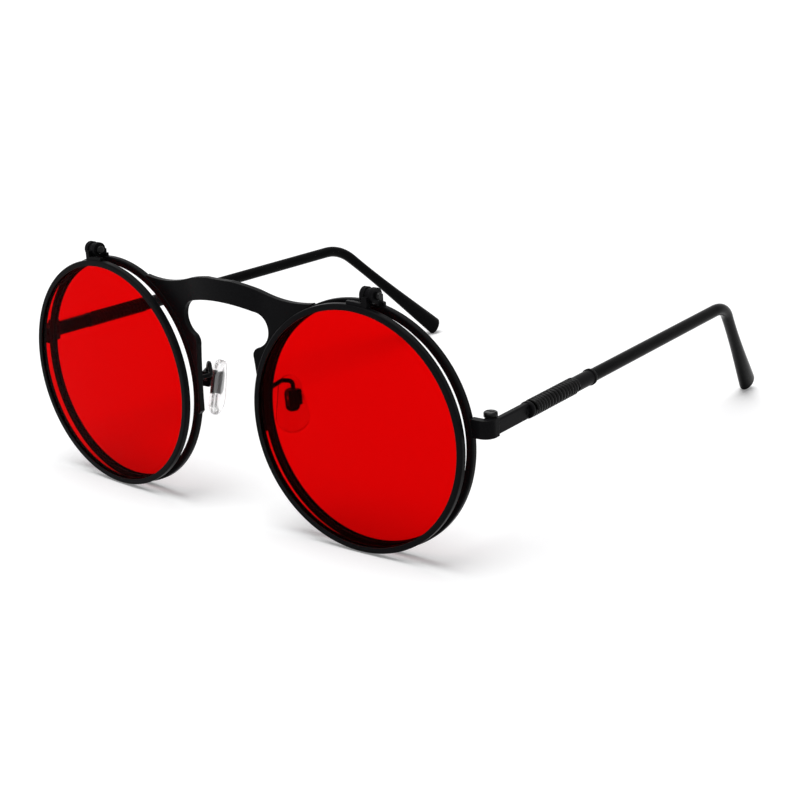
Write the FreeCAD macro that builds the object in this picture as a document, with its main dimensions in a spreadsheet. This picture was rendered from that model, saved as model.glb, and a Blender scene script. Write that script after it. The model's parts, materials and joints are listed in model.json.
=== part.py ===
import FreeCAD, Part
import Sketcher
import math
import os

Vector = FreeCAD.Vector
Placement = FreeCAD.Placement
Rotation = FreeCAD.Rotation

# Driving sizes in millimetres and degrees. The wearer's left side is +X and the front faces -Y.
# The glasses stand on their rims and their temple tips at Z = 0, and X = 0 is their middle.
SIZES = {
    # Rims and lenses
    "rim_spacing": 20.0,
    "wrap_angle": 3.1,
    "aperture_radius": 25.5,
    "base_rim_wall": 1.6,
    "base_rim_depth": 1.5,
    "flip_rim_wall": 1.3,
    "flip_rim_depth": 1.6,
    "flip_setback": 3.5,
    "rim_edge_round": 0.35,
    "lens_thickness": 0.9,
    "lens_curve_radius": 530.0,
    "groove_depth": 0.45,
    "groove_clearance": 0.05,
    # Bridge plate, with heights from the top of the base rims
    "plate_thickness": 1.3,
    "bow_radius": 38.5,
    "bow_edge_radius": 15.0,
    "crest_rise": 0.2,
    "crest_radius": 35.6,
    "crest_half_width": 11.0,
    "dip_radius": 29.1,
    "wing_inset": 12.1,
    "arch_drop": 4.9,
    "arch_corner_drop": 1.2,
    "lobe_half_width": 9.2,
    "lobe_reach": 12.7,
    "lobe_drop": 9.9,
    "hook_drop": 14.0,
    "hook_half_width": 8.6,
    "hook_round": 2.4,
    "foot_half_width": 9.5,
    "foot_drop": 5.6,
    "foot_bevel": 0.9,
    # Temple hinge and end piece
    "hinge_inset": 2.05,
    "hinge_setback": 4.4,
    "temple_height": 4.06,
    "end_reach": 3.85,
    "end_piece_height": 3.8,
    "end_piece_root": 1.7,
    "end_bend_radius": 2.4,
    "bar_thickness": 1.5,
    "bar_height": 3.3,
    "bar_round": 0.4,
    "knuckle_radius": 1.25,
    "knuckle_height": 1.5,
    "hinge_gap": 0.06,
    "pocket_gap": 0.15,
    "hinge_screw_radius": 0.6,
    "hinge_head_radius": 1.45,
    "hinge_head_height": 1.0,
    "hinge_head_round": 0.35,
    "running_clearance": 0.03,
    "slot_width": 0.35,
    "slot_depth": 0.4,
    # Temple
    "toe_in_angle": 3.0,
    "bar_length": 11.0,
    "seat_length": 2.0,
    "seat_radius": 1.75,
    "spring_length": 17.0,
    "spring_turns": 14,
    "spring_wire_radius": 0.36,
    "spring_end_gap": 0.02,
    "spring_mean_radius": 1.45,
    "core_radius": 1.0,
    "core_grip": 25.0,
    "ferrule_length": 7.2,
    "ferrule_radius": 1.65,
    "ferrule_lip": 0.2,
    "ferrule_lip_length": 0.5,
    "sleeve_run": 59.0,
    "sleeve_radius": 1.45,
    "ear_bend_radius": 13.0,
    "ear_bend_angle": 44.0,
    "ear_lean_angle": 15.0,
    "tip_height": 5.3,
    "tip_thickness": 3.4,
    "tip_round": 0.95,
    # Flip hinge, placed from the lens centre and the top of the base rim
    "flip_hinge_offset": 4.1,
    "flip_hinge_rise": 1.55,
    "flip_hinge_setback": 1.6,
    "flip_ear_radius": 1.7,
    "flip_knuckle_radius": 1.45,
    "flip_knuckle_length": 1.05,
    "flip_gap": 0.06,
    "flip_sweep_gap": 0.12,
    "flip_pin_radius": 0.5,
    "flip_head_radius": 0.95,
    "flip_head_height": 0.7,
    "flip_nut_radius": 0.85,
    "flip_nut_length": 0.9,
    "flip_foot_thickness": 0.7,
    "bracket_foot_length": 4.6,
    "leaf_foot_length": 5.1,
    # Nose pads
    "pad_box_offset": 13.4,
    "pad_box_setback": 4.15,
    "pad_box_height": 0.9,
    "pad_splay_angle": 30.0,
    "pad_tilt_angle": 9.0,
    "pad_box_width": 2.9,
    "pad_box_tall": 3.4,
    "pad_box_depth": 2.3,
    "pad_box_wall": 0.4,
    "pad_box_cheek": 0.65,
    "pad_box_round": 0.3,
    "pad_box_slot_round": 0.5,
    "pad_stem_radius": 0.7,
    "pad_stem_thickness": 1.0,
    "pad_side_gap": 0.1,
    "pad_screw_radius": 0.4,
    "pad_head_radius": 0.95,
    "pad_head_height": 0.55,
    "pad_gap": 0.3,
    "pad_drop": 1.9,
    "pad_length": 13.0,
    "pad_width": 7.6,
    "pad_top_width": 5.2,
    "pad_thickness": 2.5,
    "pad_edge_round": 1.05,
    "core_plate_drop": 0.75,
    "core_plate_tall": 5.2,
    "core_plate_wide": 3.2,
    "core_plate_round": 1.3,
    "core_plate_thickness": 0.8,
    "pad_wire_radius": 0.5,
    "pad_wire_bend": 1.0,
    "pad_wire_root": 3.0,
    "pad_wire_inset": 0.4,
    "pad_wire_back": 2.4,
    "pad_wire_over": 1.9,
    "pad_wire_rise": 0.85,
    "overrun": 1.0,
}

# Shares of the sizes that they follow
HOOK_BULGE_SHARE = 0.16
NOSE_BOW_SHARE = 0.25
ROOT_SINK_SHARE = 0.9
FULL_LENGTH_SHARE = 0.9
WIRE_RISE_SHARE = 0.55

# Where each section of the temple tip lies along it, and how far it has grown tall and thick there
TIP_SHARES = ((0, 0, 0), (0.4, 0.1, 0.15), (0.75, 0.62, 0.7), (1, 1, 1))

UP = Vector(0, 0, 1)
BACK = Vector(0, 1, 0)
OUT = Vector(1, 0, 0)

doc = FreeCAD.newDocument("SteampunkGlasses")
sheet = doc.addObject("Spreadsheet::Sheet", "Sizes")
for row, (alias, value) in enumerate(SIZES.items(), start=1):
    sheet.set("A%d" % row, alias)
    sheet.set("B%d" % row, str(value))
    sheet.setAlias("B%d" % row, alias)
doc.recompute()


def size(alias):
    """The value of one cell of the sheet."""
    return float(sheet.get(alias))


def worth(expression):
    """The value of an expression of the sheet."""
    return float(sheet.evalExpression(expression))


def rim_radius(kind):
    """The expression for a rim's outer radius."""
    return "Sizes.aperture_radius + Sizes.%s_rim_wall" % kind


def sine(degrees):
    return math.sin(math.radians(degrees))


def cosine(degrees):
    return math.cos(math.radians(degrees))


# Places worked out from the sheet
wrap = size("wrap_angle")
base_outer = worth(rim_radius("base"))
flip_outer = worth(rim_radius("flip"))
rim_top = 2 * base_outer
wrap_turn = Rotation(UP, wrap)
toe_turn = Rotation(UP, size("toe_in_angle"))
to_back = Rotation(UP, BACK)
to_side = Rotation(UP, OUT)
temple_level = base_outer + size("temple_height")

# Stations along the temple, from the hinge axis
arm_line = size("hinge_inset") - size("bar_thickness") / 2
seat_start = size("bar_length")
spring_start = seat_start + size("seat_length")
ferrule_start = spring_start + size("spring_length")
sleeve_start = ferrule_start + size("ferrule_length")
bend_start = sleeve_start + size("sleeve_run")

# The ear bend, in a frame at the bend's start whose Y runs along the arm
lean, tip_round = size("ear_lean_angle"), size("tip_round")
ear_lean = Rotation(BACK, lean)
tip_way = Vector(0, cosine(size("ear_bend_angle")), -sine(size("ear_bend_angle")))
tip_across = Vector(0, -tip_way.z, tip_way.y)
bend_end = Vector(0, tip_across.y, tip_across.z - 1) * size("ear_bend_radius")
down_high, down_thick = tip_across.z * cosine(lean), sine(lean)
tip_low = math.hypot(size("tip_height") / 2 * down_high, size("tip_thickness") / 2 * down_thick)
tip_low += tip_round * (1 - math.hypot(down_high, down_thick))
tip_fall = (temple_level - tip_low) / cosine(lean) + bend_end.z - tip_round * tip_way.z
tip_length = tip_fall / sine(size("ear_bend_angle"))

# The front's place, which leaves Y = 0 halfway between the flip rims' front and the tips' ends
flip_front = size("flip_setback") + size("flip_rim_depth") / 2 - size("rim_edge_round")
flip_side = flip_outer - size("rim_edge_round")
front_reach = flip_front * cosine(wrap) + flip_side * sine(wrap) + size("rim_edge_round")
tip_half = size("tip_height") / 2 - tip_round
tip_corner = bend_end + tip_way * (tip_length - tip_round) + tip_across * tip_half
ear_corner = Vector(arm_line, bend_start, 0) + ear_lean.multVec(tip_corner)
ear_reach = size("hinge_setback") + toe_turn.multVec(ear_corner).y + tip_round
front_line = (front_reach - ear_reach) / 2

lens_centre = Vector(size("rim_spacing") / 2 + base_outer * cosine(wrap), front_line, base_outer)
hinge_side = lens_centre.x + base_outer + size("end_reach") - size("hinge_inset")
hinge_axis = Vector(hinge_side, front_line + size("hinge_setback"), temple_level)


def lens_frame(out=0, back=0, up=0):
    """A placement in the left lens's own frame: outwards, backwards and up from its centre."""
    return Placement(lens_centre + wrap_turn.multVec(Vector(out, back, up)), wrap_turn)


def hinge_frame(out=0, back=0, up=0):
    """A placement in the open left temple's own frame, from its hinge axis."""
    return Placement(hinge_axis + toe_turn.multVec(Vector(out, back, up)), toe_turn)


def turned(placement, rotation):
    return placement.multiply(Placement(Vector(), rotation))


def finish(obj, label):
    obj.Label = label
    return obj


def bind(obj, **expressions):
    for name, text in expressions.items():
        obj.setExpression(name, text)
    return obj


def cylinder(name, radius, height, placement):
    """A cylinder along the placement's own Z, with bound radius and height."""
    body = doc.addObject("Part::Cylinder", name)
    bind(body, Radius=radius, Height=height)
    body.Placement = placement
    return body


def box(name, length, width, height, placement):
    """A box whose corner stands at the placement, with bound sides."""
    body = doc.addObject("Part::Box", name)
    bind(body, Length=length, Width=width, Height=height)
    body.Placement = placement
    return body


def ball(name, radius, placement):
    body = doc.addObject("Part::Sphere", name)
    bind(body, Radius=radius)
    body.Placement = placement
    return body


def fuse(name, *members):
    body = doc.addObject("Part::MultiFuse", name)
    body.Shapes = list(members)
    body.Refine = True
    return body


def cut(name, base, tool):
    body = doc.addObject("Part::Cut", name)
    body.Base = base
    body.Tool = tool
    return body


def common(name, *members):
    body = doc.addObject("Part::MultiCommon", name)
    body.Shapes = list(members)
    return body


def mirror(name, source):
    """The same piece on the other side."""
    body = doc.addObject("Part::Mirroring", name)
    body.Source = source
    body.Normal = OUT
    return body


def rounded(name, base, radius, picks):
    """Fillets the edges of a base that the test picks."""
    doc.recompute()
    body = doc.addObject("Part::Fillet", name)
    body.Base = base
    chosen = [i for i, edge in enumerate(base.Shape.Edges, start=1) if picks(edge)]
    body.Edges = [(i, radius, radius) for i in chosen]
    return body


def runs_along(direction, length):
    """A test that picks the straight edges of about this length along a direction."""
    def picks(edge):
        if edge.Curve.TypeId != "Part::GeomLine" or edge.Length < length * FULL_LENGTH_SHARE:
            return False
        return abs(edge.tangentAt(edge.FirstParameter).dot(direction)) > FULL_LENGTH_SHARE
    return picks


def circles_near(place, reach):
    """A test that picks the edges whose middle lies within a reach of a place."""
    def picks(edge):
        return edge.CenterOfMass.distanceToPoint(place) < reach and edge.Curve.TypeId != "Part::GeomLine"
    return picks


def sketch_on(body, role, name):
    """A sketch on one of the body's own origin planes."""
    sketch = body.newObject("Sketcher::SketchObject", name)
    plane = [f for f in body.Origin.OriginFeatures if f.Role == role][0]
    sketch.AttachmentSupport = [(plane, "")]
    sketch.MapMode = "FlatFace"
    return sketch


def bound_outline(sketch, corners):
    """A closed outline of straight sides, each corner held by two expressions of the sheet."""
    places = [Vector(sheet.evalExpression(across), sheet.evalExpression(up), 0) for across, up in corners]
    count = len(places)
    for i in range(count):
        sketch.addGeometry(Part.LineSegment(places[i], places[(i + 1) % count]), False)
    for i in range(count):
        sketch.addConstraint(Sketcher.Constraint("Coincident", i, 2, (i + 1) % count, 1))
    for i, (across, up) in enumerate(corners):
        bound_distance(sketch, "DistanceX", i, places[i].x, across)
        bound_distance(sketch, "DistanceY", i, places[i].y, up)


def bound_distance(sketch, kind, line, value, expression):
    index = sketch.addConstraint(Sketcher.Constraint(kind, -1, 1, line, 1, value))
    sketch.setExpression("Constraints[%d]" % index, expression)


def turned_ring(name, corners):
    """A body revolved about its own Y axis from a section in its XY plane."""
    body = doc.addObject("PartDesign::Body", name)
    sketch = sketch_on(body, "XY_Plane", name + "_section")
    bound_outline(sketch, corners)
    doc.recompute()
    turn = body.newObject("PartDesign::Revolution", name + "_turn")
    turn.Profile = sketch
    turn.ReferenceAxis = (sketch, ["V_Axis"])
    turn.Angle = 360
    body.Tip = turn
    doc.recompute()
    return body, turn


def padded(name, role, curves, length, both_ways=True, placement=None):
    """A body padded from a closed run of curves."""
    body = doc.addObject("PartDesign::Body", name)
    sketch = sketch_on(body, role, name + "_outline")
    for curve in curves:
        sketch.addGeometry(curve, False)
    pad = body.newObject("PartDesign::Pad", name + "_pad")
    pad.Profile = sketch
    pad.Midplane = both_ways
    pad.setExpression("Length", length)
    body.Tip = pad
    if placement:
        body.Placement = placement
    return body


def mirrored_run(half):
    """Adds to a run of curves on +X its mirror on -X, so that the run closes."""
    other = []
    for curve in reversed(half):
        shape = curve.toShape()
        first, last = shape.ParameterRange
        shown = [shape.valueAt(t) for t in (last, (first + last) / 2, first)]
        start, middle, end = [Vector(-p.x, p.y, 0) for p in shown]
        straight = isinstance(curve, Part.LineSegment)
        other.append(Part.LineSegment(start, end) if straight else Part.Arc(start, middle, end))
    return half + other


def bent_path(corners, radii):
    """Straight runs through the corners, each joined to the next by an arc of its own radius."""
    curves = []
    last = corners[0]
    for before, corner, after, radius in zip(corners, corners[1:], corners[2:], radii):
        into = (corner - before).normalize()
        out = (after - corner).normalize()
        trim = radius * math.tan(into.getAngle(out) / 2)
        start, end = corner - into * trim, corner + out * trim
        inward = (out - into).normalize()
        reach = math.hypot(radius, trim) - radius
        curves += [Part.LineSegment(last, start), Part.Arc(start, corner + inward * reach, end)]
        last = end
    return curves + [Part.LineSegment(last, corners[-1])]


def rim(name, kind, placement):
    """A rim with a lens groove in its inner wall and its two outer edges rounded."""
    inner, outer = "Sizes.aperture_radius", rim_radius(kind)
    half = "Sizes.%s_rim_depth / 2" % kind
    groove = inner + " + Sizes.groove_depth"
    side = "(Sizes.lens_thickness / 2 + Sizes.groove_clearance)"
    corners = [
        (inner, "-" + half), (outer, "-" + half), (outer, half), (inner, half),
        (inner, side), (groove, side), (groove, "-" + side), (inner, "-" + side),
    ]
    body, turn = turned_ring(name, corners)
    radius = worth(outer)
    edges = []
    for i, edge in enumerate(turn.Shape.Edges, start=1):
        if hasattr(edge.Curve, "Radius") and abs(edge.Curve.Radius - radius) < size("rim_edge_round"):
            edges.append("Edge%d" % i)
    fillet = body.newObject("PartDesign::Fillet", name + "_round")
    fillet.Base = (turn, edges)
    fillet.setExpression("Radius", "Sizes.rim_edge_round")
    body.Tip = fillet
    body.Placement = placement
    return body


def lens(name, placement):
    """A shallow dished lens whose edge lies in the rim's groove."""
    reach = "Sizes.aperture_radius + Sizes.groove_depth - Sizes.groove_clearance"
    centre = math.sqrt(size("lens_curve_radius") ** 2 - worth(reach) ** 2) - size("lens_thickness") / 2
    behind = placement.multiply(Placement(Vector(0, -size("overrun") * 2, 0), to_back))
    blank = cylinder(name + "_blank", reach, "4 * Sizes.overrun", behind)
    middle = placement.multiply(Placement(Vector(0, centre, 0), Rotation()))
    front = ball(name + "_front", "Sizes.lens_curve_radius", middle)
    rear = ball(name + "_rear", "Sizes.lens_curve_radius - Sizes.lens_thickness", middle)
    return cut(name, common(name + "_disc", blank, front), rear)


def rim_space(name, kind, setback):
    """The space inside a rim's outer wall, for what seats on that rim."""
    start = lens_frame(0, -setback - 2 * size(kind + "_rim_depth"), 0)
    return cylinder(name, rim_radius(kind), "4 * Sizes.%s_rim_depth" % kind, turned(start, to_back))


def bridge_outline():
    """The keyhole plate seen from the front, from the crest's left end round to its right end."""
    crest_radius, dip_radius = size("crest_radius"), size("dip_radius")
    crest_centre = Vector(0, rim_top + size("crest_rise") - crest_radius, 0)
    slope = math.degrees(math.asin(size("crest_half_width") / crest_radius))
    crest_end = crest_centre + Vector(sine(slope), cosine(slope), 0) * crest_radius
    dip_centre = crest_end + Vector(sine(slope), cosine(slope), 0) * dip_radius

    def on_dip(turn):
        return dip_centre + Vector(sine(turn), -cosine(turn), 0) * dip_radius

    wing_turn = math.degrees(math.asin((wing_side - dip_centre.x) / dip_radius))
    wing = on_dip(wing_turn)
    wing_root = Vector(wing.x, base_outer * 3 / 2, 0)
    foot = Vector(size("foot_half_width"), base_outer - size("foot_drop"), 0)
    foot_side = foot + Vector(0, size("foot_bevel"), 0)
    foot_end = foot + Vector(size("foot_bevel"), 0, 0)
    foot_root = Vector(lens_centre.x / 2, foot.y, 0)
    hook_top = Vector(size("hook_half_width") + size("hook_round") / 2, rim_top - size("hook_drop"), 0)
    hook_side = Vector(size("hook_half_width"), hook_top.y - size("hook_round"), 0)
    hook_bulge = Vector(-1, 1, 0) * (size("hook_round") * HOOK_BULGE_SHARE)
    nose_bow = Vector(size("foot_bevel") * NOSE_BOW_SHARE, 0, 0)
    lobe = Vector(size("lobe_reach"), rim_top - size("lobe_drop"), 0)
    arch_top = Vector(0, rim_top - size("arch_drop"), 0)
    arch_end = arch_top + Vector(size("lobe_half_width"), -size("arch_corner_drop"), 0)
    side = [
        Part.Arc(crest_end, on_dip((wing_turn - slope) / 2), wing),
        Part.LineSegment(wing, wing_root),
        Part.LineSegment(wing_root, foot_root),
        Part.LineSegment(foot_root, foot_end),
        Part.LineSegment(foot_end, foot_side),
        Part.Arc(foot_side, (foot_side + hook_side) / 2 + nose_bow, hook_side),
        Part.Arc(hook_side, (hook_top + hook_side) / 2 + hook_bulge, hook_top),
        Part.Arc(hook_top, lobe, arch_end),
    ]
    crest_left = Vector(-crest_end.x, crest_end.y, 0)
    arch_left = Vector(-arch_end.x, arch_end.y, 0)
    crest = Part.Arc(crest_left, crest_centre + Vector(0, crest_radius, 0), crest_end)
    arch = Part.Arc(arch_end, arch_top, arch_left)
    return [crest] + side + [arch] + mirrored_run(side)[len(side):]


# The bridge plate's bow, seen from above: a round crown whose sides bend back into the rims' planes
wing_side = lens_centre.x - size("wing_inset")
bow_reach = size("rim_spacing") / 2 + size("base_rim_depth") + size("overrun")
bow_edge = size("bow_edge_radius")
bow_lean = math.degrees(math.asin((bow_reach + bow_edge * sine(wrap)) / (size("bow_radius") + bow_edge)))
bow_root = Vector(bow_reach, front_line - (lens_centre.x - bow_reach) * math.tan(math.radians(wrap)), 0)
bow_edge_centre = bow_root + Vector(sine(wrap), -cosine(wrap), 0) * bow_edge
bow_centre = bow_edge_centre + Vector(-sine(bow_lean), cosine(bow_lean), 0) * (size("bow_radius") + bow_edge)


def on_crown(angle, offset):
    return bow_centre + Vector(sine(angle), -cosine(angle), 0) * (size("bow_radius") - offset)


def on_bow_edge(angle, offset):
    return bow_edge_centre + Vector(-sine(angle), cosine(angle), 0) * (bow_edge + offset)


def bow_outline():
    """The bowed sheet's section, as one closed run of curves."""
    half = size("plate_thickness") / 2
    along_rim = Vector(cosine(wrap), sine(wrap), 0) * (wing_side + size("overrun") - bow_reach)
    rear, front = on_bow_edge(wrap, half), on_bow_edge(wrap, -half)
    middle = (bow_lean + wrap) / 2
    side = [
        Part.Arc(on_bow_edge(bow_lean, half), on_bow_edge(middle, half), rear),
        Part.LineSegment(rear, rear + along_rim),
        Part.LineSegment(rear + along_rim, front + along_rim),
        Part.LineSegment(front + along_rim, front),
        Part.Arc(front, on_bow_edge(middle, -half), on_bow_edge(bow_lean, -half)),
    ]
    crown_rear = Part.Arc(on_crown(-bow_lean, half), on_crown(0, half), on_crown(bow_lean, half))
    crown_front = Part.Arc(on_crown(bow_lean, -half), on_crown(0, -half), on_crown(-bow_lean, -half))
    return [crown_rear] + side + [crown_front] + mirrored_run(side)[len(side):]


def bridge_plate():
    """The keyhole bridge: a bowed sheet cut to its outline, brazed between the two base rims."""
    front_place = Placement(Vector(0, front_line, 0), Rotation())
    front = padded("plate_front", "XZ_Plane", bridge_outline(), "2 * Sizes.bow_edge_radius",
                   placement=front_place)
    bow = padded("plate_bow", "XY_Plane", bow_outline(), "4 * (%s)" % rim_radius("base"))
    left = rim_space("plate_rim_left", "base", 0)
    open_left = cut("plate_open_left", common("plate_sheet", front, bow), left)
    return cut("bridge_plate", open_left, mirror("plate_rim_right", left))


def hinge_cylinder(name, radius, height, bottom):
    """A round piece on the temple hinge's axis."""
    return cylinder(name, radius, height, hinge_frame(0, 0, bottom))


def hinge_bore(name):
    return hinge_cylinder(name, "Sizes.hinge_screw_radius + Sizes.running_clearance",
                          "Sizes.end_piece_height + 2 * Sizes.overrun",
                          -size("end_piece_height") / 2 - size("overrun"))


def meeting(first, first_way, second, second_way):
    """The point where two lines in one level plane meet."""
    across = Vector(-second_way.y, second_way.x, 0)
    return first + first_way * ((second - first).dot(across) / first_way.dot(across))


def end_outline():
    """The end piece seen from above: from its root on the rim round a bend to the butt face."""
    half = size("end_piece_root") / 2
    root = base_outer - size("base_rim_wall") * ROOT_SINK_SHARE
    front, rear = lens_frame(root, -half, 0).Base, lens_frame(root, half, 0).Base
    outer = hinge_frame(size("hinge_inset"), 0, 0).Base
    inner = hinge_frame(size("hinge_inset") - size("bar_thickness"), 0, 0).Base
    for place in (front, rear, outer, inner):
        place.z = 0
    rim_way, arm_way = wrap_turn.multVec(OUT), toe_turn.multVec(BACK)
    radius = size("end_bend_radius")
    outer_side = bent_path([front, meeting(front, rim_way, outer, arm_way), outer], [radius])
    inner_corner = meeting(rear, rim_way, inner, arm_way)
    inner_side = bent_path([inner, inner_corner, rear], [radius - size("bar_thickness")])
    return outer_side + [Part.LineSegment(outer, inner)] + inner_side + [Part.LineSegment(rear, front)]


def end_piece():
    """The end piece: a bent bar brazed to the rim, with the two outer hinge knuckles."""
    half = size("end_piece_height") / 2
    level = Placement(Vector(0, 0, temple_level), Rotation())
    bar = padded("end_bar", "XY_Plane", end_outline(), "Sizes.end_piece_height", True, level)
    height = "(Sizes.end_piece_height - Sizes.knuckle_height) / 2 - Sizes.hinge_gap"
    low = hinge_cylinder("end_knuckle_low", "Sizes.knuckle_radius", height, -half)
    high_start = size("knuckle_height") / 2 + size("hinge_gap")
    high = hinge_cylinder("end_knuckle_high", "Sizes.knuckle_radius", height, high_start)
    pocket = hinge_cylinder("end_pocket", "Sizes.knuckle_radius + Sizes.pocket_gap",
                            "Sizes.knuckle_height + 2 * Sizes.hinge_gap", -high_start)
    seated = cut("end_seated", fuse("end_solid", bar, low, high), rim_space("end_rim", "base", 0))
    return cut("end_piece", cut("end_open", seated, pocket), hinge_bore("end_bore"))


def screw_slot(name, radius, placement):
    """The slot of a screw head whose top face is at the placement."""
    reach = size(radius) + size("overrun")
    corner = Placement(Vector(-reach, -size("slot_width") / 2, -size("slot_depth")), Rotation())
    return box(name, "2 * (Sizes.%s + Sizes.overrun)" % radius, "Sizes.slot_width",
               "Sizes.slot_depth + Sizes.overrun", placement.multiply(corner))


def temple_screw():
    """The hinge screw: a shank through the three knuckles and a round slotted head on top."""
    half = size("end_piece_height") / 2
    shank = hinge_cylinder("screw_shank", "Sizes.hinge_screw_radius",
                           "Sizes.end_piece_height + Sizes.hinge_head_height / 2", -half)
    head = hinge_cylinder("screw_head", "Sizes.hinge_head_radius", "Sizes.hinge_head_height", half)
    top = hinge_frame(0, 0, half + size("hinge_head_height"))
    head = rounded("screw_head_round", head, size("hinge_head_round"),
                   circles_near(top.Base, size("hinge_head_round")))
    slot = screw_slot("screw_slot", "hinge_head_radius", top)
    return cut("temple_screw", fuse("screw_solid", shank, head), slot)


def arm_rod(name, radius, start, length):
    """A round piece on the temple's centre line."""
    return cylinder(name, radius, length, turned(hinge_frame(arm_line, start, 0), to_back))


def core_bore(name, start, length):
    """The bore for the temple's rod through a piece that starts at a station."""
    return arm_rod(name, "Sizes.core_radius", start - size("overrun"), length + " + 2 * Sizes.overrun")


def temple_arm():
    """The temple's metal core: a flat bar with the centre knuckle, and the rod behind it."""
    inner, half = size("hinge_inset") - size("bar_thickness"), size("knuckle_height") / 2
    bar = box("arm_bar", "Sizes.bar_thickness", "Sizes.bar_length - Sizes.hinge_gap", "Sizes.bar_height",
              hinge_frame(inner, size("hinge_gap"), -size("bar_height") / 2))
    bar = rounded("arm_bar_round", bar, size("bar_round"),
                  runs_along(toe_turn.multVec(BACK), size("bar_length")))
    clears = []
    for name, start in (("arm_clear_low", -size("end_piece_height")), ("arm_clear_high", half)):
        clears.append(hinge_cylinder(name, "Sizes.knuckle_radius + Sizes.pocket_gap",
                                     "Sizes.end_piece_height - Sizes.knuckle_height / 2", start))
    bar = cut("arm_bar_open", bar, fuse("arm_clear", *clears))
    knuckle = hinge_cylinder("arm_knuckle", "Sizes.knuckle_radius", "Sizes.knuckle_height", -half)
    held = "Sizes.seat_length + Sizes.spring_length + Sizes.ferrule_length"
    rod = arm_rod("arm_rod", "Sizes.core_radius", seat_start - size("overrun"),
                  "Sizes.overrun + %s + Sizes.core_grip" % held)
    return cut("temple_arm", fuse("arm_solid", bar, knuckle, rod), hinge_bore("arm_bore"))


def spring_seat():
    """The collar that the coil stands against, round at its front edge."""
    ring = arm_rod("seat_ring", "Sizes.seat_radius", seat_start, "Sizes.seat_length")
    front = hinge_frame(arm_line, seat_start, 0).Base
    ring = rounded("seat_round", ring, size("bar_round"), circles_near(front, size("seat_length") / 2))
    return cut("spring_seat", ring, core_bore("seat_bore", seat_start, "Sizes.seat_length"))


def ferrule():
    """The ferrule between the coil and the sleeve, with a small lip before the sleeve."""
    tube = arm_rod("ferrule_tube", "Sizes.ferrule_radius", ferrule_start, "Sizes.ferrule_length")
    lip_start = sleeve_start - 2 * size("ferrule_lip_length")
    lip = arm_rod("ferrule_lip_ring", "Sizes.ferrule_radius + Sizes.ferrule_lip", lip_start,
                  "Sizes.ferrule_lip_length")
    bore = core_bore("ferrule_bore", ferrule_start, "Sizes.ferrule_length")
    return cut("temple_ferrule", fuse("ferrule_solid", tube, lip), bore)


def arc_from(start, way, end, backwards=False):
    """The arc that leaves a point along a unit tangent and ends at another point."""
    chord = end - start
    turn = chord.getAngle(way)
    side = (chord - way * chord.dot(way)).normalize()
    rise = chord.Length / 2 * math.tan(turn / 2)
    outward = (way * math.sin(turn) - side * math.cos(turn)).normalize()
    crown = (start + end) / 2 + outward * rise
    points = (end, crown, start) if backwards else (start, crown, end)
    return Part.Arc(*points).toShape()


def biarc(start, start_way, end, end_way):
    """Two arcs that leave one point and reach another with the given unit tangents."""
    gap = end - start
    both = start_way + end_way
    apart = 2 * (1 - start_way.dot(end_way))
    pull = (math.sqrt(gap.dot(both) ** 2 + apart * gap.dot(gap)) - gap.dot(both)) / apart
    joint = (start + end + (start_way - end_way) * pull) / 2
    return [arc_from(start, start_way, joint), arc_from(end, end_way * -1, joint, True)]


def temple_spring():
    """The coiled spring: one unbroken round wire wound on the rod."""
    wire_radius, radius = size("spring_wire_radius"), size("spring_mean_radius")
    end_room = wire_radius + size("spring_end_gap")
    turns = int(size("spring_turns"))
    pitch = (size("spring_length") - 2 * end_room) / turns
    place = hinge_frame(arm_line, spring_start + end_room, 0)

    def station(turn):
        angle = 2 * math.pi * turn
        point = Vector(radius * math.cos(angle), pitch * turn, radius * math.sin(angle))
        way = Vector(-radius * math.sin(angle), pitch / (2 * math.pi), radius * math.cos(angle))
        return place.multVec(point), place.Rotation.multVec(way.normalize())

    edges = []
    for half in range(2 * turns):
        start, start_way = station(half / 2)
        end, end_way = station((half + 1) / 2)
        edges += biarc(start, start_way, end, end_way)
    start, start_way = station(0)
    ring = Part.Wire(Part.Circle(start, start_way, wire_radius).toShape())
    coil = doc.addObject("Part::Feature", "temple_spring")
    coil.Shape = Part.Wire(edges).makePipeShell([ring], True, False)
    gap = least_gap(edges, pitch) - 2 * wire_radius
    print("spring: pitch %.3f mm, least gap to itself %.3f mm" % (pitch, gap))
    return coil


def least_gap(edges, pitch):
    """The least distance between points of a coil's line that lie half a turn or more apart."""
    steps = 8
    points = []
    for edge in edges:
        points += edge.discretize(steps + 1)[:-1]
    turn = 4 * steps
    least = 2 * pitch
    for i, point in enumerate(points):
        for other in points[i + turn // 2:i + 2 * turn]:
            least = min(least, point.distanceToPoint(other))
    return least


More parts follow.
